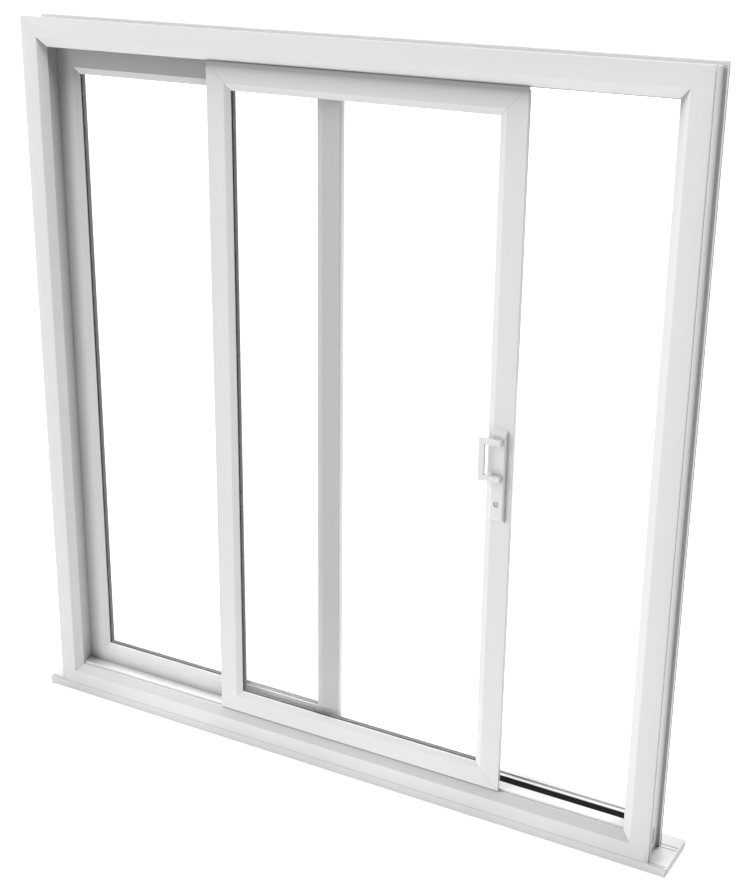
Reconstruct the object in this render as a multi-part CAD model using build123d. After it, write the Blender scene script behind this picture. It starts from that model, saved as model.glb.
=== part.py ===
# Two-leaf inline sliding patio door in white plastic profile, on a projecting sill.
# Millimetres. X runs to the right seen from the room, Y runs outwards, Z is up.
# The origin lies on the underside of the sill, in the middle of the frame's width and depth.
# The right-hand leaf slides in front of the fixed left-hand leaf and stands part open.

import os

from build123d import *

# Outer frame
frame_width = 2000.0
frame_height = 2090.0
frame_depth = 110.0
frame_face = 54.0
frame_outer_band = 20.0
frame_outer_fall = 1.2
frame_outer_round = 150.0
frame_bevel = 26.0
frame_bevel_depth = 15.0
frame_foot = 8.0
front_foot_depth = 21.0
rear_foot_depth = 20.0
trim_groove_width = 3.5
trim_groove_depth = 5.0
trim_groove_inset = 5.0
rear_stop = 13.0
rear_stop_depth = 13.0
frame_edge_round = 1.5
frame_bevel_round = 5.0
weld_groove_width = 1.0
weld_groove_depth = 0.4

# Sill under the frame
sill_depth = 165.0
sill_height = 25.0
sill_horn = 47.0
sill_deck = 16.0
sill_seat_depth = 112.0
sill_nose = 7.0
sill_nose_round = 2.3
sill_fall = 3.0
sill_groove_width = 2.4
sill_groove_depth = 5.0
sill_groove_places = (1.2, 9.5, 93.3, 108.0)
sill_edge_round = 0.8
cap_thickness = 5.0
cap_corner_round = 4.2

# Tracks and guides
track_height = 7.5
infill_height = 5.0
rear_track_depth = 13.0
guide_groove_width = 18.0
guide_groove_depth = 12.0
guide_liner_wall = 1.5

# Leaves
leaf_flat = 56.0
leaf_flange = 12.5
leaf_flange_thickness = 6.0
leaf_edge_round = 1.2
bead_width = 18.0
bead_slope = 6.5
bead_tip = 2.0
rear_lip_cover = 10.0
rear_lip_thickness = 5.5
running_gap = 5.0
meeting_overlap = 24.0
slid_open = 364.0
fitting_gap = 0.5

# Glazing
gasket_front = 1.5
gasket_rear = 2.0
gasket_width = 8.0
pane = 4.0
glass_edge_gap = 3.0
spacer_width = 14.0

# Rollers and top guides of the sliding leaf
wheel_diameter = 22.0
wheel_width = 7.0
wheel_spacing = 60.0
axle_diameter = 6.0
carriage_length = 110.0
carriage_width = 14.0
carriage_height = 24.0
carriage_wall = 2.0
carriage_inset = 150.0
rolling_gap = 0.3
guide_block_length = 70.0
guide_block_width = 10.0
guide_block_rise = 21.0
guide_block_round = 3.3

# Weather seals
seal_thickness = 3.0
seal_gap = 0.5
meeting_seal_width = 8.0

# Handle and lock
plate_width = 40.0
plate_height = 256.0
plate_thickness = 12.0
plate_bevel = 3.5
plate_end_round = 1.5
plate_edge_inset = 16.0
plate_bottom_height = 912.0
pull_width = 62.0
pull_height = 118.0
pull_bar = 17.0
pull_thickness = 17.0
grip_thickness = 7.5
pull_edge_inset = 23.0
pull_rise = 118.0
pull_round = 0.8
cylinder_diameter = 16.0
cylinder_play = 0.3
cylinder_recess = 2.0
cylinder_rise = 52.0
key_slot_width = 2.2
key_slot_length = 8.5
escutcheon_width = 32.0
escutcheon_height = 96.0
escutcheon_thickness = 2.0
keep_thickness = 2.5
keep_width = 20.0
keep_height = 180.0
keep_slot_width = 9.0
keep_slot_height = 60.0
faceplate_thickness = 2.5
faceplate_width = 20.0
faceplate_height = 420.0

# Cutters run past the faces that they cut
overshoot = 2.0

# Places worked out from the sizes above
sight = frame_face + frame_bevel
front = -frame_depth / 2
rear = frame_depth / 2
nose_back = front + sill_depth
sill_deck_base = sill_height - sill_deck
frame_base = sill_height
frame_top = frame_base + frame_height
ring_base = frame_base - frame_foot
reveal_left = -frame_width / 2 + sight
reveal_right = frame_width / 2 - sight
reveal_base = ring_base + sight
reveal_top = frame_top - sight
reveal_width = reveal_right - reveal_left
track_top = reveal_base + track_height
bevel_back = front + frame_bevel_depth
rear_stop_face = rear - rear_stop_depth

sliding_front = bevel_back - leaf_flange_thickness
leaf_thickness = (rear_stop_face - sliding_front - running_gap) / 2
fixed_front = rear_stop_face - leaf_thickness
sliding_middle = sliding_front + (leaf_flange_thickness + leaf_thickness) / 2
leaf_width = (reveal_width - running_gap + meeting_overlap) / 2
fixed_left = reveal_left
fixed_right = fixed_left + leaf_width
sliding_right = reveal_right - running_gap - slid_open
sliding_left = sliding_right - leaf_width
leaf_sight = leaf_flat + bead_width
bead_depth = bead_slope + bead_tip
unit_front = bead_depth + gasket_front
lip_front = leaf_thickness - rear_lip_thickness
unit_rear = lip_front - gasket_rear

front_track_start = bevel_back + running_gap
front_track_end = fixed_front - fitting_gap
rear_track_start = rear_stop_face - rear_track_depth
guide_groove_start = sliding_middle - guide_groove_width / 2
guide_groove_end = sliding_middle + guide_groove_width / 2

pull_bottom_height = plate_bottom_height + pull_rise
cylinder_height = plate_bottom_height + cylinder_rise

made = {}


def keep(name, shape):
    """Remember one named piece of the door."""
    shape.label = name
    made[name] = shape


def outline(points, rounds=()):
    """A flat face through the points, with some corners rounded."""
    face = make_face(Polyline(*points, close=True))
    for corner, radius in rounds:
        target = Vector(*corner)
        nearest = face.vertices().sort_by_distance(target)[0]
        face = fillet(nearest, radius)
    return face


def along_x(face, start, end):
    """Stretch a section drawn as (Y, Z) along X between two places."""
    plane = Plane(origin=(start, 0, 0), x_dir=(0, 1, 0), z_dir=(1, 0, 0))
    return extrude(plane * face, end - start)


def along_y(face, start, end):
    """Stretch a section drawn as (X, Z) along Y between two places."""
    plane = Plane(origin=(0, start, 0), x_dir=(1, 0, 0), z_dir=(0, -1, 0))
    return extrude(plane * face, start - end)


def block(x0, x1, y0, y1, z0, z1):
    """A plain box between six faces."""
    middle = ((x0 + x1) / 2, (y0 + y1) / 2, (z0 + z1) / 2)
    return Pos(*middle) * Box(x1 - x0, y1 - y0, z1 - z0)


def wedge(side, bounds, reach, short=0.0):
    """Room for one bar of a ring, mitred at 45 degrees, short of its mitres by a length of bar."""
    left, right, base, top = bounds
    if side in ("left", "right"):
        edge, inward = (left, reach) if side == "left" else (right, -reach)
        points = [
            (edge, base + short),
            (edge, top - short),
            (edge + inward, top - reach - short),
            (edge + inward, base + reach + short),
        ]
    else:
        edge, inward = (base, reach) if side == "bottom" else (top, -reach)
        points = [
            (left + short, edge),
            (right - short, edge),
            (right - reach - short, edge + inward),
            (left + reach + short, edge + inward),
        ]
    return along_y(outline(points), -frame_depth, frame_depth)


def mitred_ring(section, bounds, width):
    """Four bars of one section round a rectangle, mitred, with a fine groove along each weld.

    The section is drawn as (inset, Y). Bounds are left, right, base and top of the rectangle.
    Width is how far the section runs inwards. Beside a mitre the section shrinks by the groove.
    """
    left, right, base, top = bounds
    reach = width + overshoot
    core = offset(section, -weld_groove_depth, kind=Kind.INTERSECTION)
    turned = {
        "left": Plane(origin=(left, 0, base), x_dir=(1, 0, 0), z_dir=(0, 0, 1)),
        "right": Plane(origin=(right, 0, top), x_dir=(-1, 0, 0), z_dir=(0, 0, -1)),
        "bottom": Plane(origin=(right, 0, base), x_dir=(0, 0, 1), z_dir=(-1, 0, 0)),
        "top": Plane(origin=(left, 0, top), x_dir=(0, 0, -1), z_dir=(1, 0, 0)),
    }
    bars = {}
    for side, plane in turned.items():
        length = top - base if side in ("left", "right") else right - left
        body = extrude(plane * section, length) & wedge(side, bounds, reach, weld_groove_width / 2)
        bars[side] = body + (extrude(plane * core, length) & wedge(side, bounds, reach))
    return bars


def frame_section(groove=False):
    """Section of the outer frame from its outer edge inwards, with the bevelled face to the room.

    Each foot has a groove in its outer side, where trims clip in.
    """
    deep = sight + rear_stop
    outer_front = front + frame_outer_fall
    front_groove = front + trim_groove_inset
    rear_groove = rear - trim_groove_inset
    points = [
        (0, outer_front),
        (frame_outer_band, front),
        (frame_face, front),
        (sight, bevel_back),
    ]
    if groove:
        groove_floor = sight - guide_groove_depth
        points += [
            (sight, guide_groove_start),
            (groove_floor, guide_groove_start),
            (groove_floor, guide_groove_end),
            (sight, guide_groove_end),
        ]
    points += [
        (sight, rear_stop_face),
        (deep, rear_stop_face),
        (deep, rear),
        (0, rear),
        (0, rear_groove),
        (trim_groove_depth, rear_groove),
        (trim_groove_depth, rear_groove - trim_groove_width),
        (0, rear_groove - trim_groove_width),
        (0, rear - rear_foot_depth),
        (frame_foot, rear - rear_foot_depth),
        (frame_foot, front + front_foot_depth),
        (0, front + front_foot_depth),
        (0, front_groove + trim_groove_width),
        (trim_groove_depth, front_groove + trim_groove_width),
        (trim_groove_depth, front_groove),
        (0, front_groove),
    ]
    rounds = [
        ((0, outer_front), frame_edge_round),
        ((frame_outer_band, front), frame_outer_round),
        ((frame_face, front), frame_bevel_round),
        ((sight, bevel_back), frame_edge_round),
    ]
    return outline(points, rounds)


def make_frame():
    """Head, jambs and bottom rail, mitred at the corners and cut off flat on the sill."""
    bounds = (-frame_width / 2, frame_width / 2, ring_base, frame_top)
    width = sight + rear_stop
    plain = mitred_ring(frame_section(), bounds, width)
    with_guide = mitred_ring(frame_section(groove=True), bounds, width)
    above_sill = block(-frame_width, frame_width, -frame_depth, frame_depth, frame_base, frame_top)
    keep("head", with_guide["top"])
    keep("left_jamb", plain["left"] & above_sill)
    keep("right_jamb", plain["right"] & above_sill)
    keep("bottom_rail", plain["bottom"] & above_sill)


def make_cap(inner, outer):
    """End cap of the sill's right-hand horn, as thick as the deck, with its outer corners rounded."""
    side = outline(
        [
            (front, sill_deck_base),
            (front, sill_height),
            (rear, sill_height),
            (nose_back, sill_height - sill_fall),
            (nose_back, sill_deck_base - sill_fall),
            (rear, sill_deck_base),
        ],
        [
            ((front, sill_height), sill_edge_round),
            ((nose_back, sill_height - sill_fall), sill_fall),
        ],
    )
    plan = outline(
        [(inner, front), (outer, front), (outer, nose_back), (inner, nose_back)],
        [((outer, front), cap_corner_round), ((outer, nose_back), cap_corner_round)],
    )
    return along_x(side, inner, outer) & extrude(plan, sill_height)


def make_sill():
    """Sill with a flat seat, a falling nose with a drip, seating grooves and end caps."""
    nose_front = nose_back - sill_nose
    seat_end = front + sill_seat_depth
    points = [
        (front, 0),
        (front, sill_height),
        (rear, sill_height),
        (nose_back, sill_height - sill_fall),
        (nose_back, 0),
        (nose_front, 0),
        (nose_front, sill_deck_base - sill_fall),
        (seat_end, sill_deck_base - sill_fall),
        (seat_end, 0),
    ]
    rounds = [
        ((front, sill_height), sill_edge_round),
        ((nose_back, sill_height - sill_fall), sill_fall),
        ((nose_back, 0), sill_nose_round),
    ]
    half = frame_width / 2 + sill_horn
    sill = along_x(outline(points, rounds), -half, half)
    groove_floor = sill_height - sill_groove_depth
    for place in sill_groove_places:
        groove_start = front + place
        groove_end = groove_start + sill_groove_width
        for low, high in ((-half, -frame_width / 2), (frame_width / 2, half)):
            sill -= block(low, high, groove_start, groove_end, groove_floor, sill_height + overshoot)
    keep("sill", sill)
    right_cap = make_cap(half, half + cap_thickness)
    keep("sill_end_caps", Compound([mirror(right_cap, Plane.YZ), right_cap]))


def make_tracks():
    """Front and rear tracks on the bottom rail, the dark infill strip and the liner in the head."""
    front_face = outline(
        [
            (front_track_start, reveal_base),
            (front_track_end, reveal_base),
            (front_track_end, track_top),
            (front_track_start, track_top),
        ],
        [((front_track_start, track_top), frame_edge_round)],
    )
    front_track = along_x(front_face, reveal_left, reveal_right)
    rear_track = block(reveal_left, reveal_right, rear_track_start, rear_stop_face, reveal_base, track_top)
    keep("tracks", Compound([front_track, rear_track]))
    infill = block(
        fixed_right + fitting_gap,
        reveal_right,
        front_track_end,
        rear_track_start,
        reveal_base,
        reveal_base + infill_height,
    )
    keep("track_infill", infill)
    ceiling = reveal_top + guide_groove_depth
    liner = block(reveal_left, reveal_right, guide_groove_start, guide_groove_end, reveal_top, ceiling)
    inner_start = guide_groove_start + guide_liner_wall
    inner_end = guide_groove_end - guide_liner_wall
    liner -= block(reveal_left, reveal_right, inner_start, inner_end, reveal_top, ceiling - guide_liner_wall)
    keep("head_guide", liner)


def leaf_section(leaf_front):
    """Section of a leaf bar: flat face, overlapping flange, glazing rebate and rear lip."""
    body_rear = leaf_front + leaf_thickness
    points = [
        (0, leaf_front),
        (leaf_flat, leaf_front),
        (leaf_flat, leaf_front + lip_front),
        (leaf_flat + rear_lip_cover, leaf_front + lip_front),
        (leaf_flat + rear_lip_cover, body_rear),
        (leaf_flange, body_rear),
        (leaf_flange, leaf_front + leaf_flange_thickness),
        (0, leaf_front + leaf_flange_thickness),
    ]
    rounds = [
        ((0, leaf_front), leaf_edge_round),
        ((leaf_flat + rear_lip_cover, body_rear), leaf_edge_round),
    ]
    return outline(points, rounds)


def bead_section(leaf_front):
    """Section of a glazing bead: a sloped face from the bar down to a thin tip on the gasket."""
    points = [
        (leaf_flat, leaf_front),
        (leaf_sight, leaf_front + bead_slope),
        (leaf_sight, leaf_front + bead_depth),
        (leaf_flat, leaf_front + bead_depth),
    ]
    return outline(points)


def flat_ring(bounds, outer_inset, inner_inset, y0, y1):
    """A rectangular ring lying in the plane of the leaf."""
    left, right, base, top = bounds
    outer = block(
        left + outer_inset, right - outer_inset, y0, y1, base + outer_inset, top - outer_inset
    )
    inner = block(
        left + inner_inset, right - inner_inset, y0, y1, base + inner_inset, top - inner_inset
    )
    return outer - inner


def make_leaf(prefix, bounds, leaf_front, trim=0.0):
    """One glazed leaf: four mitred bars, four beads and a sealed unit between two gaskets."""
    left, right, base, top = bounds
    bars = mitred_ring(leaf_section(leaf_front), bounds, leaf_flat + rear_lip_cover)
    beads = mitred_ring(bead_section(leaf_front), bounds, leaf_sight)
    kept_height = block(left, right, -frame_depth, frame_depth, base + trim, top - trim)
    names = {"left": "left_stile", "right": "right_stile", "top": "top_rail", "bottom": "bottom_rail"}
    for side, name in names.items():
        keep(f"{prefix}_{name}", bars[side] & kept_height)
    for side, bead in beads.items():
        keep(f"{prefix}_{side}_bead", bead)
    edge = leaf_flat + glass_edge_gap
    inner_y = leaf_front + unit_front
    outer_y = leaf_front + unit_rear - pane
    glass = (left + edge, right - edge)
    height = (base + edge, top - edge)
    keep(f"{prefix}_inner_pane", block(*glass, inner_y, inner_y + pane, *height))
    keep(f"{prefix}_outer_pane", block(*glass, outer_y, outer_y + pane, *height))
    spacer = flat_ring(bounds, leaf_sight - spacer_width, leaf_sight, inner_y + pane, outer_y)
    keep(f"{prefix}_spacer", spacer)
    front_gasket = flat_ring(bounds, leaf_sight - gasket_width, leaf_sight, leaf_front + bead_depth, inner_y)
    rear_edge = leaf_flat + rear_lip_cover
    rear_gasket = flat_ring(bounds, edge, rear_edge, leaf_front + unit_rear, leaf_front + lip_front)
    keep(f"{prefix}_gaskets", Compound([front_gasket, rear_gasket]))


def make_fixed_leaf():
    """The fixed leaf seats on the reveal and against the rear stop, with a pile seal at its free stile."""
    make_leaf("fixed", (fixed_left, fixed_right, reveal_base, reveal_top), fixed_front)
    seal = block(
        fixed_right - fitting_gap - meeting_seal_width,
        fixed_right - fitting_gap,
        fixed_front - running_gap + seal_gap,
        fixed_front,
        reveal_base + leaf_flange,
        reveal_top - leaf_flange,
    )
    keep("meeting_seal", seal)


def make_sliding_leaf():
    """The sliding leaf keeps a running gap to the frame, closed by seals on its flange."""
    bounds = (sliding_left, sliding_right, reveal_base, reveal_top)
    make_leaf("sliding", bounds, sliding_front, trim=running_gap)
    seal_start = sliding_front + (leaf_flange_thickness - seal_thickness) / 2
    seal_end = seal_start + seal_thickness
    low_seal = block(
        sliding_left, sliding_right, seal_start, seal_end, reveal_base + seal_gap, reveal_base + running_gap
    )
    high_seal = block(
        sliding_left, sliding_right, seal_start, seal_end, reveal_top - running_gap, reveal_top - seal_gap
    )
    keep("running_seals", Compound([low_seal, high_seal]))


def make_rollers():
    """Two roller carriages let into the underside of the sliding leaf, two wheels in each."""
    body_base = reveal_base + leaf_flange
    slot_width = carriage_width + 2 * rolling_gap
    axle_z = track_top + rolling_gap + wheel_diameter / 2
    housings = []
    wheels = []
    rail = made["sliding_bottom_rail"]
    for centre in (sliding_left + carriage_inset, sliding_right - carriage_inset):
        x0 = centre - carriage_length / 2
        x1 = centre + carriage_length / 2
        y0 = sliding_middle - carriage_width / 2
        y1 = sliding_middle + carriage_width / 2
        rail -= block(
            x0 - rolling_gap,
            x1 + rolling_gap,
            sliding_middle - slot_width / 2,
            sliding_middle + slot_width / 2,
            body_base - overshoot,
            body_base + carriage_height,
        )
        housing = block(x0, x1, y0, y1, body_base, body_base + carriage_height)
        hollow_top = body_base + carriage_height - carriage_wall
        hollow_base = body_base - overshoot
        housing -= block(x0, x1, y0 + carriage_wall, y1 - carriage_wall, hollow_base, hollow_top)
        for offset in (-wheel_spacing / 2, wheel_spacing / 2):
            axle_place = Pos(centre + offset, sliding_middle, axle_z) * Rot(90, 0, 0)
            housing -= axle_place * Cylinder(axle_diameter / 2, carriage_width + 2 * overshoot)
            wheel = axle_place * Cylinder(wheel_diameter / 2, wheel_width)
            axle = axle_place * Cylinder(axle_diameter / 2, carriage_width)
            wheels.append(wheel + axle)
        housings.append(housing)
    keep("sliding_bottom_rail", rail)
    keep("roller_carriages", Compound(housings))
    keep("rollers", Compound([wheel.solid() for wheel in wheels]))


def make_top_guides():
    """Two guide blocks stand on the top rail of the sliding leaf and run in the head guide."""
    body_top = reveal_top - leaf_flange
    blocks = []
    for centre in (sliding_left + carriage_inset, sliding_right - carriage_inset):
        guide = block(
            centre - guide_block_length / 2,
            centre + guide_block_length / 2,
            sliding_middle - guide_block_width / 2,
            sliding_middle + guide_block_width / 2,
            body_top,
            body_top + guide_block_rise,
        )
        upright = guide.edges().filter_by(Axis.Z)
        blocks.append(fillet(upright, guide_block_round))
    keep("top_guides", Compound([guide.solid() for guide in blocks]))


def make_handle():
    """Backplate with bevelled ends, a thin square D grip on two posts and the lock cylinder below."""
    plate_right = sliding_right - plate_edge_inset
    plate_left = plate_right - plate_width
    plate_front = sliding_front - plate_thickness
    plate_base = plate_bottom_height
    plate_top = plate_base + plate_height
    side = [
        (sliding_front, plate_base),
        (plate_front, plate_base + plate_thickness),
        (plate_front, plate_top - plate_thickness),
        (sliding_front, plate_top),
    ]
    side_rounds = [
        ((plate_front, plate_base + plate_thickness), plate_end_round),
        ((plate_front, plate_top - plate_thickness), plate_end_round),
    ]
    plate = along_x(outline(side, side_rounds), plate_left, plate_right)
    plan = outline(
        [
            (plate_left, sliding_front),
            (plate_left, plate_front + plate_bevel),
            (plate_left + plate_bevel, plate_front),
            (plate_right - plate_bevel, plate_front),
            (plate_right, plate_front + plate_bevel),
            (plate_right, sliding_front),
        ]
    )
    plate &= extrude(Plane.XY.offset(plate_base) * plan, plate_height)
    middle_x = (plate_left + plate_right) / 2
    place = Pos(middle_x, sliding_front - plate_thickness / 2, cylinder_height) * Rot(90, 0, 0)
    plate -= place * Cylinder(cylinder_diameter / 2 + cylinder_play, plate_thickness + 2 * overshoot)
    keep("handle_backplate", plate)
    cylinder_front = plate_front + cylinder_recess
    length = sliding_front - cylinder_front
    cylinder_place = Pos(middle_x, sliding_front - length / 2, cylinder_height) * Rot(90, 0, 0)
    keep("lock_cylinder", cylinder_place * Cylinder(cylinder_diameter / 2, length))
    pull_right = sliding_right - pull_edge_inset
    pull_left = pull_right - pull_width
    pull_top = pull_bottom_height + pull_height
    pull_front = plate_front - pull_thickness
    shape = outline(
        [
            (pull_left, pull_bottom_height),
            (pull_right, pull_bottom_height),
            (pull_right, pull_bottom_height + pull_bar),
            (pull_left + pull_bar, pull_bottom_height + pull_bar),
            (pull_left + pull_bar, pull_top - pull_bar),
            (pull_right, pull_top - pull_bar),
            (pull_right, pull_top),
            (pull_left, pull_top),
        ]
    )
    pull = along_y(shape, pull_front, plate_front)
    pull -= block(
        pull_left - overshoot,
        plate_left + plate_bevel,
        pull_front + grip_thickness,
        plate_front + overshoot,
        pull_bottom_height - overshoot,
        pull_top + overshoot,
    )
    pull = fillet(pull.faces().sort_by(Axis.Y)[0].edges(), pull_round)
    keep("pull_handle", pull)


def make_lock():
    """Escutcheon let in flush outside, faceplate on the leaf's edge and keep on the jamb."""
    plate_right = sliding_right - plate_edge_inset
    middle_x = plate_right - plate_width / 2
    body_rear = sliding_front + leaf_thickness
    half = escutcheon_width / 2
    low = cylinder_height - escutcheon_height / 2
    high = cylinder_height + escutcheon_height / 2
    plate_face = body_rear - escutcheon_thickness
    escutcheon = block(middle_x - half, middle_x + half, plate_face, body_rear, low, high)
    stile = made["sliding_right_stile"] - escutcheon
    slot = block(
        middle_x - key_slot_width / 2,
        middle_x + key_slot_width / 2,
        plate_face,
        body_rear,
        cylinder_height - key_slot_length / 2,
        cylinder_height + key_slot_length / 2,
    )
    keep("outside_escutcheon", escutcheon - slot)
    edge_x = sliding_right - leaf_flange
    lock_z = pull_bottom_height + pull_height / 2
    faceplate = block(
        edge_x,
        edge_x + faceplate_thickness,
        sliding_middle - faceplate_width / 2,
        sliding_middle + faceplate_width / 2,
        lock_z - faceplate_height / 2,
        lock_z + faceplate_height / 2,
    )
    keep("lock_faceplate", faceplate)
    keep("sliding_right_stile", stile)
    striker = block(
        reveal_right - keep_thickness,
        reveal_right,
        sliding_middle - keep_width / 2,
        sliding_middle + keep_width / 2,
        lock_z - keep_height / 2,
        lock_z + keep_height / 2,
    )
    striker -= block(
        reveal_right - keep_thickness - overshoot,
        reveal_right,
        sliding_middle - keep_slot_width / 2,
        sliding_middle + keep_slot_width / 2,
        lock_z - keep_slot_height / 2,
        lock_z + keep_slot_height / 2,
    )
    keep("lock_keep", striker)


make_frame()
make_sill()
make_tracks()
make_fixed_leaf()
make_sliding_leaf()
make_rollers()
make_top_guides()
make_handle()
make_lock()

os.makedirs("parts", exist_ok=True)
for name, shape in made.items():
    export_step(shape, f"parts/{name}.step")
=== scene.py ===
# %% [markdown]
# # A sliding patio door in white plastic
# The solids of the door come from the packed model and stay where they are. This lesson gives them
# their finishes, adds the small fittings that are too fine for the solids, and lights the door as
# a studio would. All lengths are metres. X runs to the right seen from the room, Y runs outwards.

# %% Load the packed door
import math
import random

import bmesh
import bpy
from mathutils import Matrix, Vector


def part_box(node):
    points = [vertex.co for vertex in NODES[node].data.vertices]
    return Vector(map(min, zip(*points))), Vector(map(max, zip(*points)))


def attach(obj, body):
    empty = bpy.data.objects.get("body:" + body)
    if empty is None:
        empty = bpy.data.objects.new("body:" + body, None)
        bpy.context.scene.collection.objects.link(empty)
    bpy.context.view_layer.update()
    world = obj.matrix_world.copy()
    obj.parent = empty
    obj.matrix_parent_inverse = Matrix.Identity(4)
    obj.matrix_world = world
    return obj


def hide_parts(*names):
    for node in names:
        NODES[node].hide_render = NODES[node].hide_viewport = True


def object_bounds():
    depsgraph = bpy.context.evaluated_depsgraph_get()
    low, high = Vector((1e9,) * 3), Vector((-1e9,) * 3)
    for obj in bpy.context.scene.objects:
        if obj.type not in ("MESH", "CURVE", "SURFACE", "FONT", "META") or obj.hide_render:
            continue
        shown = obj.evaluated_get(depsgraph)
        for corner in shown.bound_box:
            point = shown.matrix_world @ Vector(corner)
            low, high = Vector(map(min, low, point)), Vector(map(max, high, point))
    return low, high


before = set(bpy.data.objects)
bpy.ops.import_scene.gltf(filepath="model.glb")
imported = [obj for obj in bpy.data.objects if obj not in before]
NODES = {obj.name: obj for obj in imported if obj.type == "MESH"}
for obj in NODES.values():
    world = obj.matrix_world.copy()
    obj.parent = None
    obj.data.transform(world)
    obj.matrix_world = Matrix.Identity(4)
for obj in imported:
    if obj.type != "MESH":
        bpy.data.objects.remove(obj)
cad_low, cad_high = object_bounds()
MM = 0.001
print("solids in the door:", len(NODES))
print("door size:", [round(high - low, 4) for low, high in zip(cad_low, cad_high)])

# %% [markdown]
# The camera stands to the right of the door and above it. Its place and its turn were worked out
# from the four front corners of the frame, so they are set as numbers and nothing is guessed by eye.
# The lens follows from the focal length in pixels, because a 36 mm sensor spans the picture's height.

# %% Camera
PICTURE_HEIGHT = 893
FOCAL_PIXELS = 1558.9
SENSOR = 36.0

scene = bpy.context.scene
scene.view_settings.view_transform = "Standard"
eye = bpy.data.cameras.new("eye")
eye.sensor_width = SENSOR
eye.lens = FOCAL_PIXELS * SENSOR / PICTURE_HEIGHT
eye.clip_end = 200.0
camera = bpy.data.objects.new("camera", eye)
standpoint = (2.055759, -3.493815, 2.520705)
right = Vector((0.8726091, 0.4882817, 0.0115915))
up = Vector((-0.1801213, 0.2996540, 0.9368905))
back = Vector((0.4539930, -0.8196270, 0.3494308))
turn = Matrix((right, up, back)).transposed()
camera.matrix_world = Matrix.Translation(standpoint) @ turn.to_4x4()
scene.collection.objects.link(camera)
scene.camera = camera
print("lens:", round(eye.lens, 2), "mm")

# %% [markdown]
# A studio for a white door is mostly white. The world is a plain dome, and a few very wide lamps give
# the faces their different tones. The strongest one hangs high behind the door: it whitens all that
# looks up, and the pale floor throws its light back at the front. Two weaker ones stand at the left,
# so the sides that look to the right are greyer. Wide lamps keep every shadow soft. Each row gives a
# lamp's name, the degrees that it is turned from the Y axis towards the X axis, the degrees that it is
# raised above the floor, and its strength.

# %% Lamps
LAMPS = [
    ("high_back", 0.0, 60.0, 2.5),
    ("high_left", 230.0, 40.0, 0.9),
    ("low_left", 230.0, 12.0, 1.06),
]
LAMP_WIDTH = math.radians(40.0)

for name, azimuth, elevation, strength in LAMPS:
    lamp = bpy.data.lights.new(name, "SUN")
    lamp.energy = strength
    lamp.angle = LAMP_WIDTH
    holder = bpy.data.objects.new(name, lamp)
    turned, raised = math.radians(azimuth), math.radians(elevation)
    towards = Vector((
        math.sin(turned) * math.cos(raised),
        math.cos(turned) * math.cos(raised),
        math.sin(raised),
    ))
    holder.rotation_mode = "QUATERNION"
    holder.rotation_quaternion = towards.to_track_quat("Z", "Y")
    scene.collection.objects.link(holder)
print("lamps:", len(LAMPS))

# %% [markdown]
# Shader maths is easier to read as sums than as boxes and lines. A Wire is one output of a node, and
# adding, multiplying or comparing Wires makes the Math node that does it.

# %% Wires


class Wire:
    """One output of a node, with arithmetic on it."""

    def __init__(self, finish, socket):
        self.finish = finish
        self.socket = socket

    def math(self, operation, *values):
        """Any operation of the Math node, on values that are wires or numbers."""
        return self.finish.node("ShaderNodeMath", {"operation": operation}, dict(enumerate(values)))

    def __add__(self, other):
        return self.math("ADD", self, other)

    def __radd__(self, other):
        return self.math("ADD", other, self)

    def __sub__(self, other):
        return self.math("SUBTRACT", self, other)

    def __rsub__(self, other):
        return self.math("SUBTRACT", other, self)

    def __mul__(self, other):
        return self.math("MULTIPLY", self, other)

    def __rmul__(self, other):
        return self.math("MULTIPLY", other, self)

    def __lt__(self, other):
        return self.math("LESS_THAN", self, other)

    def __gt__(self, other):
        return self.math("GREATER_THAN", self, other)

    def __abs__(self):
        return self.math("ABSOLUTE", self)

    def at_least(self, value):
        return self.math("MAXIMUM", self, value)

    def at_most(self, value):
        return self.math("MINIMUM", self, value)


print("a wire can do:", [name for name in vars(Wire) if not name.startswith("__")])

# %% [markdown]
# A Finish is a material or a world. Its node method makes any other node from its type, its settings
# and what goes into its sockets, and the methods after it name the few nodes that come up again and
# again. A Mix node gives its sockets for numbers and for colours the same names, so the ones for
# colours are picked by their place in the row.

# %% Finishes
MIX_LOW, MIX_HIGH, MIX_COLOUR = 6, 7, 2
OPENNESS_SAMPLES = 6


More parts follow.
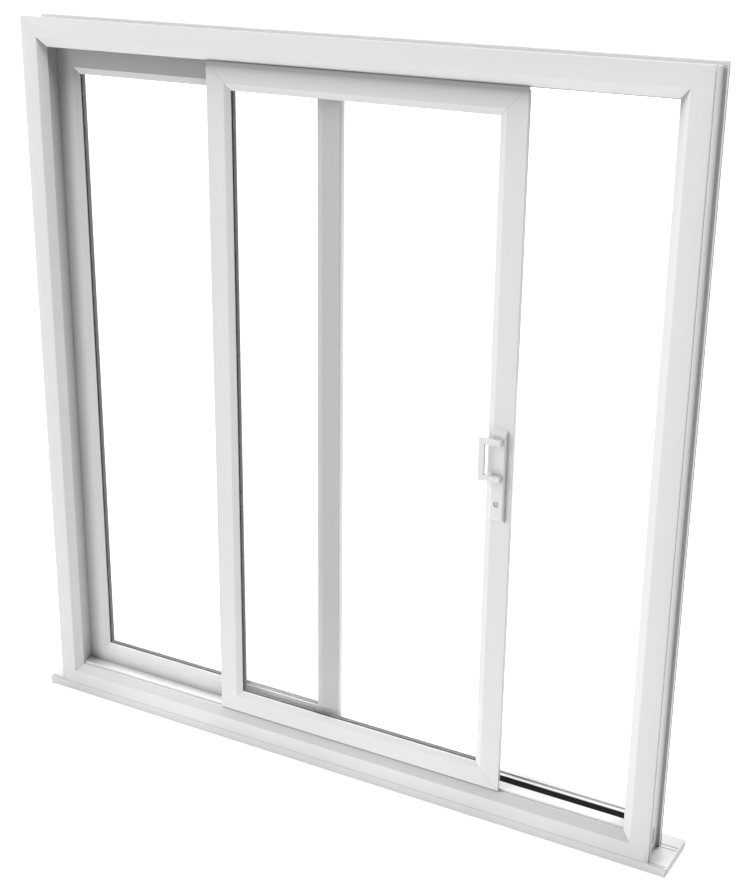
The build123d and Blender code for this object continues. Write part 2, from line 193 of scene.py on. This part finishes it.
class Finish:
    """A material under construction, or a world."""

    def __init__(self, name, world=False):
        self.owner = (bpy.data.worlds if world else bpy.data.materials).new(name)
        self.owner.use_nodes = True
        self.tree = self.owner.node_tree
        self.tree.nodes.clear()
        self.output = "ShaderNodeOutputWorld" if world else "ShaderNodeOutputMaterial"

    def node(self, kind, settings=None, sockets=None, out=0):
        """Any node, with its settings made first, as the wire of one of its outputs."""
        made = self.tree.nodes.new(kind)
        for name, value in (settings or {}).items():
            setattr(made, name, value)
        for name, value in (sockets or {}).items():
            if isinstance(value, Wire):
                self.tree.links.new(value.socket, made.inputs[name])
            else:
                made.inputs[name].default_value = value
        return Wire(self, made.outputs[out]) if len(made.outputs) else None

    def place(self):
        """The point on the object, in metres."""
        return self.node("ShaderNodeTexCoord", out="Object")

    def along(self, axis):
        """How far the point lies along X, Y or Z, in metres."""
        return self.node("ShaderNodeSeparateXYZ", None, {"Vector": self.place()}, out=axis)

    def facing(self, axis):
        """How much the surface looks along X, Y or Z."""
        normal = self.node("ShaderNodeNewGeometry", out="Normal")
        return self.node("ShaderNodeSeparateXYZ", None, {"Vector": normal}, out=axis)

    def noise(self, scale, detail=2.0):
        """Cloudy noise with its own number of features a metre along each axis."""
        size = scale if isinstance(scale, tuple) else (scale, scale, scale)
        sockets = {"Vector": self.place(), "Scale": size}
        mapped = self.node("ShaderNodeMapping", {"vector_type": "POINT"}, sockets)
        return self.node("ShaderNodeTexNoise", None, {"Vector": mapped, "Scale": 1.0, "Detail": detail})

    def mix(self, mask, low, high):
        """One colour where the mask is 0 and another where it is 1."""
        sockets = {0: mask, MIX_LOW: low, MIX_HIGH: high}
        return self.node("ShaderNodeMix", {"data_type": "RGBA"}, sockets, out=MIX_COLOUR)

    def openness(self, reach):
        """1 out in the open and less in a corner: the mask for the shade painted in corners."""
        settings = {"samples": OPENNESS_SAMPLES}
        return self.node("ShaderNodeAmbientOcclusion", settings, {"Distance": reach}, out="AO")

    def bump(self, height, distance, strength=1.0):
        """A normal that follows a height, which counts for up to a distance in metres."""
        sockets = {"Height": height, "Distance": distance, "Strength": strength}
        return self.node("ShaderNodeBump", None, sockets)

    def surface(self, sockets):
        """The Principled shader."""
        return self.node("ShaderNodeBsdfPrincipled", None, sockets)

    def done(self, shader):
        """Join a shader to the output and hand the material or the world over."""
        self.node(self.output, None, {"Surface": shader})
        return self.owner


def grey(tone):
    """A colour without any hue."""
    return (tone, tone, tone, 1.0)


print("a finish can do:", [name for name in vars(Finish) if not name.startswith("__")])

# %% [markdown]
# The frame and the leaves are extruded plastic. A die leaves fine lines along a bar, and between them
# the skin is slightly uneven, which shows only in the gloss. The lines have to follow each bar, so
# there is one finish for the bars that run along X and one for those that run along Z.
#
# A grey film of painted shade lies in corners, on the slope of the bottom bar, and high up inside
# the opening, where the head leans over. The photograph is darker in these places than soft lamps
# make them, and the painted shade stands in for what is missing there. It stays off the outer front
# and off whatever lies flat, and it is worked out from the point's own place, so no view changes it.

# %% The painted shade
# How far and how strongly shade is painted in corners, on the slope of the bottom bar and under the
# head.
CORNER_REACH = 100 * MM
CORNER_START = 0.12
CORNER_GAIN = 1.5
SLOPE_GAIN = 1.12
COVER_GAIN = 1.6
UNSHADED_TOP = 15 * MM
BEVEL_WIDTH = 26 * MM
FRONT_SKIN = 0.5 * MM

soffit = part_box("fixed_top_rail")[1].z
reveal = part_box("tracks")[1].x
frame_front, frame_back = (corner.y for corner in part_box("head"))
slope_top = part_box("fixed_bottom_rail")[0].z
# No shade is painted on the top strip of the door.
shade_ceiling = cad_high.z - UNSHADED_TOP


# The shade that the head would cast high inside the opening is painted, as much as this mask says.
def overhung(finish):
    """How far the head leans over a point of the opening: 1 right under it, less further down."""
    across, deep, high = (finish.along(axis) for axis in "XYZ")
    depth = (deep - frame_front).at_most(frame_back - deep)
    beside = abs(across) - reveal
    mitre_line = beside.at_least(0.0) + soffit
    drop = (mitre_line - high).at_least(1 * MM)
    lean = depth.math("DIVIDE", depth, drop)
    lean = lean.math("SINE", lean.math("ARCTANGENT", lean))
    upwards = finish.facing("Z")
    upright = (1.0 - upwards).at_most(1.0 + upwards * 2.0).at_least(0.0)
    inside = (beside < BEVEL_WIDTH) * (high < mitre_line)
    return lean.at_least(0.0) * upright * inside


def painted_shade(finish):
    """How much shade is painted, from 0 to 1: in corners, on the foot's slope and under the head."""
    high = finish.along("Z")
    level = finish.facing("Z").at_least(0.0)
    # Shade is painted in corners, on the slope of the bottom bar and under the head, not on the outer
    # front or the top strip.
    closed = (1.0 - finish.openness(CORNER_REACH) - CORNER_START) * (1.0 - level * level)
    shade_zone = (high < shade_ceiling) * (finish.along("Y") > frame_front + FRONT_SKIN)
    corners = closed.at_least(0.0) * shade_zone * CORNER_GAIN
    slope = level * (1.0 - level) * (high < slope_top) * shade_zone * SLOPE_GAIN
    return (corners + slope + overhung(finish) * COVER_GAIN).at_most(1.0)


print("opening under", round(soffit, 3), "m and within", round(reveal, 3), "m of the middle")

# %% [markdown]
# The painted shade lies over the plain plastic, whose white differs a little from one batch to the
# next.

# %% White profile plastic
WHITE = 0.80
# What is left of the white where the shade is painted in full.
SHADE_TONE = 0.38


def profile_plastic(name, length_axis, with_shade=True):
    """Extruded white plastic with die lines along one axis, and painted shade if asked for."""
    finish = Finish(name)
    across, lengthways = 700.0, 1.5
    scale = tuple(lengthways if axis == length_axis else across for axis in "XYZ")
    die_lines = finish.noise(scale, detail=3.0)
    skin = finish.noise(1800.0)
    batch = finish.noise(1.7, detail=1.0)
    relief = die_lines * 0.7 + skin * 0.3
    tone = finish.mix(batch, grey(WHITE * 0.985), grey(WHITE * 1.015))
    # Shade is painted over the plastic's tone in corners, on the slope and under the head.
    if with_shade:
        tone = finish.mix(painted_shade(finish), tone, grey(WHITE * SHADE_TONE))
    return finish.done(finish.surface({
        "Base Color": tone,
        "Roughness": die_lines * 0.12 + 0.27,
        "IOR": 1.53,
        "Normal": finish.bump(relief, 0.00002, 0.2),
    }))


bar_x = profile_plastic("profile_plastic_across", "X")
bar_z = profile_plastic("profile_plastic_upright", "Z")
# The moulded plastic gets no painted shade.
moulded_white = profile_plastic("moulded_plastic", "Z", with_shade=False)
print("profile finishes:", bar_x.name, bar_z.name, moulded_white.name)

# %% [markdown]
# The handle is cast metal with a powder coat. Powder flows into a skin like orange peel with dimples
# about a millimetre apart, and its gloss is a little higher than that of the plastic beside it. Round
# the roots of the pull shade is painted in, as in the corners of the frame.

# %% Powder coat
# How far and how strongly shade is painted round the roots of the pull.
ROOT_REACH = 40 * MM
ROOT_GAIN = 0.7


def powder_coat():
    """White powder coat with its dimples, and shade painted round the roots of the pull."""
    finish = Finish("powder_coat")
    peel = finish.noise(900.0, detail=1.0)
    unshaded = finish.mix(peel, grey(0.80), grey(0.83))
    # Shade painted round the roots of the pull.
    closed = (1.0 - finish.openness(ROOT_REACH)) * ROOT_GAIN
    return finish.done(finish.surface({
        "Base Color": finish.mix(closed, unshaded, grey(0.36)),
        "Roughness": peel * 0.1 + 0.22,
        "Coat Weight": 0.25,
        "Coat Roughness": 0.12,
        "Normal": finish.bump(peel, 0.00003, 0.5),
    }))


coated_metal = powder_coat()
print("handle finish:", coated_metal.name)

# %% [markdown]
# Window glass is nearly invisible face on and shows as a reflection at a slant, which the Principled
# shader's transmission does by itself. Light has to reach what lies behind it, and a clear shader for
# shadow rays does that without the grain that light bent through glass would bring.

# %% Glass


def window_glass():
    """Clear glass that lets shadow rays go straight through."""
    finish = Finish("window_glass")
    pane = finish.surface({
        "Base Color": (0.990, 0.991, 0.990, 1.0),
        "Roughness": 0.0,
        "IOR": 1.5,
        "Transmission Weight": 1.0,
    })
    clear = finish.node("ShaderNodeBsdfTransparent", None, {"Color": (0.976, 0.978, 0.977, 1.0)})
    shadow_ray = finish.node("ShaderNodeLightPath", out="Is Shadow Ray")
    return finish.done(finish.node("ShaderNodeMixShader", None, {0: shadow_ray, 1: pane, 2: clear}))


clear_glass = window_glass()
print("glass finish:", clear_glass.name)

# %% [markdown]
# The spacer between the panes is a warm-edge bar in dark grey plastic. Its open face has a row of pin
# holes for the drying agent, and black butyl seals it to each pane. Pin holes and butyl lines are
# fractions of a millimetre deep, so they are drawn from the point's place and not modelled.

# %% Spacer between the panes
BUTYL_WIDTH = 2.2 * MM
HOLE_RADIUS = 0.6 * MM
HOLE_PITCH = 4 * MM


def spacer_bar(name, pane_gap_start, pane_gap_end):
    """Dark grey plastic with a row of pin holes, and black butyl beside each pane."""
    finish = Finish(name)
    middle = (pane_gap_start + pane_gap_end) / 2
    half_gap = (pane_gap_end - pane_gap_start) / 2
    from_middle = abs(finish.along("Y") - middle)
    butyl = from_middle > half_gap - BUTYL_WIDTH
    upright = abs(finish.facing("X")) > 0.5
    run = upright * finish.along("Z") + (1.0 - upright) * finish.along("X")
    pitches = run * (1 / HOLE_PITCH)
    along_run = pitches.math("FRACT", pitches) - 0.5
    hole = (abs(along_run) < 0.14) * (from_middle < HOLE_RADIUS)
    grain = finish.noise(1500.0)
    bare = finish.mix(grain, grey(0.055), grey(0.07))
    pierced = finish.mix(hole, bare, grey(0.02))
    return finish.done(finish.surface({
        "Base Color": finish.mix(butyl, pierced, grey(0.018)),
        "Roughness": butyl * -0.2 + 0.65,
        "Specular IOR Level": 0.15,
        "Normal": finish.bump(grain - hole, 0.0001, 0.4),
    }))


spacers = {}
for leaf in ("fixed", "sliding"):
    gap_low, gap_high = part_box(f"{leaf}_spacer")
    spacers[leaf] = spacer_bar(f"{leaf}_spacer_bar", gap_low.y, gap_high.y)
print("spacer finishes:", [material.name for material in spacers.values()])

# %% [markdown]
# The glazing gaskets are rubber, and a black plastic strip fills the open half of the tracks. Both are
# dull and nearly black. Up close rubber is slightly speckled, and the strip has fine ribs along it,
# which are too shallow to model, so a sine wave across the strip makes them.

# %% Rubber and the black strip
RIB_PITCH = 2.9 * MM


def rubber():
    """Dull black rubber with a fine speckle."""
    finish = Finish("gasket_rubber")
    speckle = finish.noise(2500.0, detail=3.0)
    return finish.done(finish.surface({
        "Base Color": finish.mix(speckle, grey(0.014), grey(0.03)),
        "Roughness": speckle * 0.2 + 0.5,
        "Normal": finish.bump(speckle, 0.00004, 0.5),
    }))


def ribbed_strip():
    """Black plastic with fine ribs along X, a little dusty."""
    finish = Finish("ribbed_strip")
    turns = finish.along("Y") * (math.tau / RIB_PITCH)
    ribs = turns.math("SINE", turns)
    dust = finish.noise((40.0, 300.0, 300.0), detail=4.0)
    return finish.done(finish.surface({
        "Base Color": finish.mix(dust, grey(0.006), grey(0.011)),
        "Roughness": dust * 0.15 + 0.6,
        "Specular IOR Level": 0.04,
        "Normal": finish.bump(ribs, 0.0002, 0.6),
    }))


gasket_rubber, black_strip = rubber(), ribbed_strip()
print("black finishes:", gasket_rubber.name, black_strip.name)

# %% [markdown]
# The rollers and the top guides are nylon, which lets a little light in before it throws it back, so
# it gets some subsurface scattering. The seals are brush pile. At this size its fibres are a dull,
# tufted surface with a soft sheen at a slant.

# %% Nylon and brush pile


def nylon():
    """Off-white nylon that lets a little light in."""
    finish = Finish("moulded_nylon")
    cloud = finish.noise(220.0)
    return finish.done(finish.surface({
        "Base Color": finish.mix(cloud, (0.70, 0.69, 0.65, 1.0), (0.76, 0.75, 0.72, 1.0)),
        "Roughness": cloud * 0.1 + 0.38,
        "Subsurface Weight": 0.1,
        "Subsurface Scale": 0.002,
        "Normal": finish.bump(cloud, 0.00005, 0.4),
    }))


def pile_fibre():
    """Grey pile, tufted along its fibres."""
    finish = Finish("pile_fibre")
    tuft = finish.noise((2200.0, 2200.0, 300.0), detail=3.0)
    return finish.done(finish.surface({
        "Base Color": finish.mix(tuft, grey(0.20), grey(0.42)),
        "Roughness": 0.85,
        "Sheen Weight": 0.3,
        "Normal": finish.bump(tuft, 0.0003, 0.8),
    }))


moulded_nylon, pile = nylon(), pile_fibre()
print("nylon and pile finishes:", moulded_nylon.name, pile.name)

# %% [markdown]
# The lock keep, the faceplate and the roller carriages are steel plated with zinc. Zinc grows in flat
# crystals that catch the light in patches, so the cells of a Voronoi pattern set the gloss. The lock
# cylinder is nickel with a satin brush, and noise drawn out along Z makes the brush marks.

# %% Zinc and satin nickel


def zinc():
    """Zinc plating, whose flat crystals each have their own gloss."""
    finish = Finish("zinc_plate")
    crystal = finish.node("ShaderNodeTexVoronoi", None, {"Vector": finish.place(), "Scale": 260.0})
    patch = finish.noise(90.0, detail=3.0)
    return finish.done(finish.surface({
        "Base Color": finish.mix(patch, (0.52, 0.53, 0.55, 1.0), (0.68, 0.69, 0.70, 1.0)),
        "Metallic": 1.0,
        "Roughness": crystal * 0.2 + 0.28,
        "Normal": finish.bump(crystal, 0.00003, 0.3),
    }))


def satin_metal():
    """Nickel plating brushed upwards to a satin."""
    finish = Finish("satin_metal")
    brush = finish.noise((2500.0, 2500.0, 60.0), detail=2.0)
    return finish.done(finish.surface({
        "Base Color": finish.mix(brush, (0.31, 0.306, 0.30, 1.0), (0.39, 0.386, 0.378, 1.0)),
        "Metallic": 1.0,
        "Roughness": brush * 0.15 + 0.25,
        "Normal": finish.bump(brush, 0.00001, 0.4),
    }))


zinc_plate, satin_nickel = zinc(), satin_metal()
print("metal finishes:", zinc_plate.name, satin_nickel.name)

# %% [markdown]
# Each solid now takes its finish by name. Bars that lie along X and bars that stand along Z differ, so
# the length of a solid's own box decides which of the two plastics it gets.

# %% Give the solids their finishes
BY_SLOT = {
    "white_coated_metal": coated_metal,
    "clear_glass": clear_glass,
    "black_gasket": gasket_rubber,
    "black_infill": black_strip,
    "pile_seal": pile,
    "nylon": moulded_nylon,
    "zinc_plated_steel": zinc_plate,
    "satin_nickel": satin_nickel,
}


def finish_of(name, slot_name):
    """The finish for one solid, from its material slot and its shape."""
    if slot_name == "black_spacer":
        return spacers[name.split("_")[0]]
    if slot_name == "white_plastic":
        low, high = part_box(name)
        return bar_z if high.z - low.z > high.x - low.x else bar_x
    return BY_SLOT[slot_name]


for name, solid in NODES.items():
    slot_name = solid.material_slots[0].material.name
    solid.material_slots[0].material = finish_of(name, slot_name)
print("finished solids:", len(NODES))

# %% [markdown]
# Small fittings are made with mesh operators: a shape is created, pushed about and bevelled, and its
# object stays at the origin. One helper adds a block to a mesh, and another turns the mesh into a
# piece of the door. Edges are gathered in the order in which they are met and never in a Python set,
# whose order changes from run to run, so that no run cuts a face up in another way.

# %% Making a piece


def piece(name, mesh, finish, body, slot_name):
    """Turn a finished bmesh into an object that rides on a body of the door."""
    bmesh.ops.recalc_face_normals(mesh, faces=mesh.faces)
    data = bpy.data.meshes.new(name)
    mesh.to_mesh(data)
    mesh.free()
    data.materials.append(finish)
    made = bpy.data.objects.new(name, data)
    scene.collection.objects.link(made)
    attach(made, body)
    return made


def each_once(items):
    """The items in the order in which they first come, each of them once."""
    return list(dict.fromkeys(items))


def break_edges(mesh, edges, width):
    """Take the sharpness off edges, as a mould or a file does."""
    bmesh.ops.bevel(
        mesh, geom=edges, offset=width, segments=2, profile=0.5, affect="EDGES", material=-1
    )


def add_block(mesh, low, high, edge=0.0):
    """A box between two corners, its edges broken by a bevel."""
    low, high = Vector(low), Vector(high)
    size = high - low
    place = Matrix.Translation((low + high) / 2) @ Matrix.Diagonal((*size, 1.0))
    corners = bmesh.ops.create_cube(mesh, size=1.0, matrix=place)["verts"]
    if edge:
        break_edges(mesh, each_once(line for corner in corners for line in corner.link_edges), edge)
    return corners


print("helpers:", [made.__name__ for made in (piece, each_once, break_edges, add_block)])

# %% [markdown]
# Near its foot each jamb has a small moulded lug in the recess behind the front foot, on a thin base
# strip. It keeps the frame clear of the wall while the fixings are driven. The photo shows the one on
# the right.

# %% Lugs in the jamb recesses
RECESS_DEPTH = 8 * MM
LUG_SHORT_OF_SIDE = 0.3 * MM
LUG_ROUNDING = 0.5 * MM
LUG_BLOCKS = [
    ((-15 * MM, 74 * MM), (-11 * MM, 112.5 * MM)),
    ((-34 * MM, 63 * MM), (-11 * MM, 71 * MM)),
]


def jamb_lug(side):
    """One lug over its base strip, as deep as the recess of its jamb."""
    jamb_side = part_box("right_jamb")[1].x
    floor_x, top_x = jamb_side - RECESS_DEPTH, jamb_side - LUG_SHORT_OF_SIDE
    mesh = bmesh.new()
    for low, high in LUG_BLOCKS:
        add_block(mesh, (floor_x, *low), (top_x, *high), LUG_ROUNDING)
    if side < 0:
        bmesh.ops.scale(mesh, vec=(-1, 1, 1), verts=mesh.verts)
    name = "left_jamb_lug" if side < 0 else "right_jamb_lug"
    return piece(name, mesh, moulded_white, "frame", "white_plastic")


lugs = [jamb_lug(-1), jamb_lug(1)]
print("lugs:", len(lugs))

# %% [markdown]
# Screws hold the lock keep, the faceplate and the outside escutcheon. A countersunk head is a disc with
# a cross let into it: a three by three grid without its corners is the cross, and the ring between
# the cross and the rim is filled by one operator.

# %% Screw heads
SCREW_HEAD = 7 * MM
SCREW_PROUD = 0.2 * MM
CROSS_SHARE, CROSS_DEPTH_SHARE, SKIRT_SHARE = 0.29, 0.12, 0.18
SCREWS = [
    ("keep_screws", "lock_keep", (-1, 0, 0), 14 * MM, "frame", "zinc_plated_steel"),
    ("faceplate_screws", "lock_faceplate", (1, 0, 0), 16 * MM, "sliding_leaf", "zinc_plated_steel"),
    ("escutcheon_screws", "outside_escutcheon", (0, 1, 0), 9 * MM, "sliding_leaf", "satin_nickel"),
]


def only_verts(items):
    """The corner points among what an operator made."""
    return [item for item in items if isinstance(item, bmesh.types.BMVert)]


def add_screw(mesh, centre, out, diameter):
    """A flat countersunk head with a cross recess, looking along out."""
    ring = bmesh.ops.create_circle(mesh, cap_ends=False, radius=diameter / 2, segments=24)["verts"]
    rim = each_once(line for corner in ring for line in corner.link_edges)
    half_cross = diameter * CROSS_SHARE
    cross = bmesh.ops.create_grid(mesh, x_segments=3, y_segments=3, size=half_cross)["verts"]
    corners = [corner for corner in cross if len(corner.link_edges) == 2]
    gone = each_once(face for corner in corners for face in corner.link_faces)
    bmesh.ops.delete(mesh, geom=gone, context="FACES")
    cross = [corner for corner in cross if corner.is_valid]
    floor = each_once(face for corner in cross for face in corner.link_faces)
    border = [line for face in floor for line in face.edges if len(line.link_faces) == 1]
    bmesh.ops.triangle_fill(mesh, use_beauty=True, edges=rim + border)
    sunk = only_verts(bmesh.ops.extrude_face_region(mesh, geom=floor)["geom"])
    bmesh.ops.delete(mesh, geom=floor, context="FACES")
    bmesh.ops.translate(mesh, vec=(0, 0, -diameter * CROSS_DEPTH_SHARE), verts=sunk)
    skirt = only_verts(bmesh.ops.extrude_edge_only(mesh, edges=rim)["geom"])
    bmesh.ops.translate(mesh, vec=(0, 0, -diameter * SKIRT_SHARE), verts=skirt)
    shape = ring + cross + sunk + skirt
    turned = out.to_track_quat("Z", "Y").to_matrix().to_4x4()
    bmesh.ops.transform(mesh, matrix=Matrix.Translation(centre) @ turned, verts=shape)


def screw_pair(name, solid, outwards, inset, body, slot_name):
    """Two screws near the ends of an upright plate, on the face that looks outwards."""
    low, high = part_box(solid)
    middle = (low + high) / 2
    out = Vector(outwards)
    reach = Vector([(high - low)[axis] / 2 * out[axis] for axis in range(3)])
    mesh = bmesh.new()
    for height in (low.z + inset, high.z - inset):
        centre = Vector((middle.x, middle.y, height)) + reach + out * SCREW_PROUD
        add_screw(mesh, centre, out, SCREW_HEAD)
    return piece(name, mesh, BY_SLOT[slot_name], body, slot_name)


screws = [screw_pair(*row) for row in SCREWS]
print("screw pieces:", len(screws))

# %% [markdown]
# Brush pile closes the running gaps. A real strip is a backing with thousands of short fibres, and what
# shows is a soft uneven edge. A box cut into many short lengths, with the corners of its free side
# moved a little at random, gives that edge for few faces.

# %% Brush pile
X, Y, Z = range(3)
PILE_PITCH = 2.5 * MM
PILE_DEPTH = 4.5 * MM
RAGGED = 0.7 * MM
STRAY = 0.15 * MM


def brush_pile(name, boxes, long_axis, free_axis, body, replaced):
    """Pile strips in the given boxes, ragged on the side that looks along the free axis."""
    chance = random.Random(name)
    mesh = bmesh.new()
    for low, high, free_side in boxes:
        corners = add_block(mesh, low, high)
        span = high[long_axis] - low[long_axis]
        steps = int(span / PILE_PITCH)
        edges = each_once(line for corner in corners for line in corner.link_edges)
        long_edges = [
            line for line in edges if abs((line.verts[0].co - line.verts[1].co)[long_axis]) > span / 2
        ]
        cut = bmesh.ops.subdivide_edges(mesh, edges=long_edges, cuts=steps, use_grid_fill=True)
        edge_place = (high if free_side > 0 else low)[free_axis]
        other_axis = X + Y + Z - long_axis - free_axis
        for vert in only_verts(cut["geom_inner"]):
            if abs(vert.co[free_axis] - edge_place) < 0.01 * MM:
                vert.co[free_axis] -= free_side * chance.uniform(0.0, RAGGED)
                vert.co[other_axis] += chance.uniform(-STRAY, STRAY)
    made = piece(name, mesh, pile, body, "pile_seal")
    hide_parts(replaced)
    return made


def running_boxes():
    """The low and the high running seal, which lie on the sliding leaf's flange."""
    low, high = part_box("running_seals")
    bottom = (low, Vector((high.x, high.y, low.z + PILE_DEPTH)), -1)
    top = (Vector((low.x, low.y, high.z - PILE_DEPTH)), high, 1)
    return [bottom, top]


meeting_low, meeting_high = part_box("meeting_seal")
pile_pieces = [
    brush_pile("running_pile", running_boxes(), X, Z, "sliding_leaf", "running_seals"),
    brush_pile("meeting_pile", [(meeting_low, meeting_high, -1)], Z, Y, "frame", "meeting_seal"),
]
print("pile faces:", [len(made.data.polygons) for made in pile_pieces])

# %% [markdown]
# Rain that gets into the bottom rail runs out of slots on the outside, and a small hood over each slot
# keeps the wind out. They are on the back of the door, where the photo doesn't look.

# %% Drain hoods
HOOD_PLACES = (-750 * MM, 0.0, 750 * MM)
HOOD_WIDTH, HOOD_HEIGHT, HOOD_DEPTH = 44 * MM, 12 * MM, 5 * MM
HOOD_LIFT = 12 * MM
HOOD_LEAN = 0.6


def drain_hoods():
    """Three hoods on the back of the bottom rail, with their top edge leaning back to it."""
    low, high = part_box("bottom_rail")
    base, half_depth = low.z + HOOD_LIFT, high.y + HOOD_DEPTH / 2
    mesh = bmesh.new()
    for centre in HOOD_PLACES:
        start = (centre - HOOD_WIDTH / 2, high.y, base)
        end = (centre + HOOD_WIDTH / 2, high.y + HOOD_DEPTH, base + HOOD_HEIGHT)
        outer = [corner for corner in add_block(mesh, start, end) if corner.co.y > half_depth]
        lip = [corner for corner in outer if corner.co.z > base + HOOD_HEIGHT / 2]
        bmesh.ops.translate(mesh, vec=(0, -HOOD_DEPTH * HOOD_LEAN, 0), verts=lip)
    break_edges(mesh, mesh.edges[:], 0.8 * MM)
    return piece("drain_hoods", mesh, bar_x, "frame", "white_plastic")


hoods = drain_hoods()
print("drain hoods:", hoods.name)

# %% [markdown]
# The floor is a large pale sheet just under the sill. It has to look white in the picture and still
# keep the door's soft shadow, so camera rays see its own white and a share of the light that falls on
# it. All other rays meet plain pale paint, and the floor lights the door only by what it reflects. The
# dome works the same way: it shows as white in a gloss, and lights the door with less.

# %% Floor and world
SHOWN_BY = ("Is Camera Ray", "Is Glossy Ray", "Is Transmission Ray")
SHOWN_GLOW = 0.5
DOME = 0.16
FLOOR_HALF = 40.0
FLOOR_GAP = 0.5 * MM


def pictured(finish):
    """1 for the rays that show a thing, straight, in a gloss or through glass, and 0 for the rest."""
    rays = [finish.node("ShaderNodeLightPath", out=name) for name in SHOWN_BY]
    return (rays[0] + rays[1] + rays[2]).at_most(1.0)


def pale_floor():
    """A sheet that shows as white, and that the door throws its shadow on."""
    finish = Finish("pale_floor")
    paint = finish.node("ShaderNodeBsdfDiffuse", None, {"Color": grey(0.92)})
    own_white = finish.node("ShaderNodeEmission", None, {"Color": grey(1.0), "Strength": SHOWN_GLOW})
    both = finish.node("ShaderNodeAddShader", None, {0: paint, 1: own_white})
    seen = finish.node("ShaderNodeMixShader", None, {0: pictured(finish), 1: paint, 2: both})
    mesh = bmesh.new()
    bmesh.ops.create_grid(mesh, x_segments=1, y_segments=1, size=FLOOR_HALF)
    bmesh.ops.translate(mesh, vec=(0, 0, cad_low.z - FLOOR_GAP), verts=mesh.verts)
    data = bpy.data.meshes.new("floor")
    mesh.to_mesh(data)
    mesh.free()
    data.materials.append(finish.done(seen))
    floor = bpy.data.objects.new("floor", data)
    scene.collection.objects.link(floor)
    return floor


def white_dome():
    """A dome that lights the door softly and shows as white in a gloss or through glass."""
    finish = Finish("white_dome", world=True)
    strength = pictured(finish) * (1.0 - DOME) + DOME
    light = finish.node("ShaderNodeBackground", None, {"Color": grey(1.0), "Strength": strength})
    return finish.done(light)


floor = pale_floor()
scene.world = white_dome()
print("floor at:", round(floor.data.vertices[0].co.z, 4))

# %% [markdown]
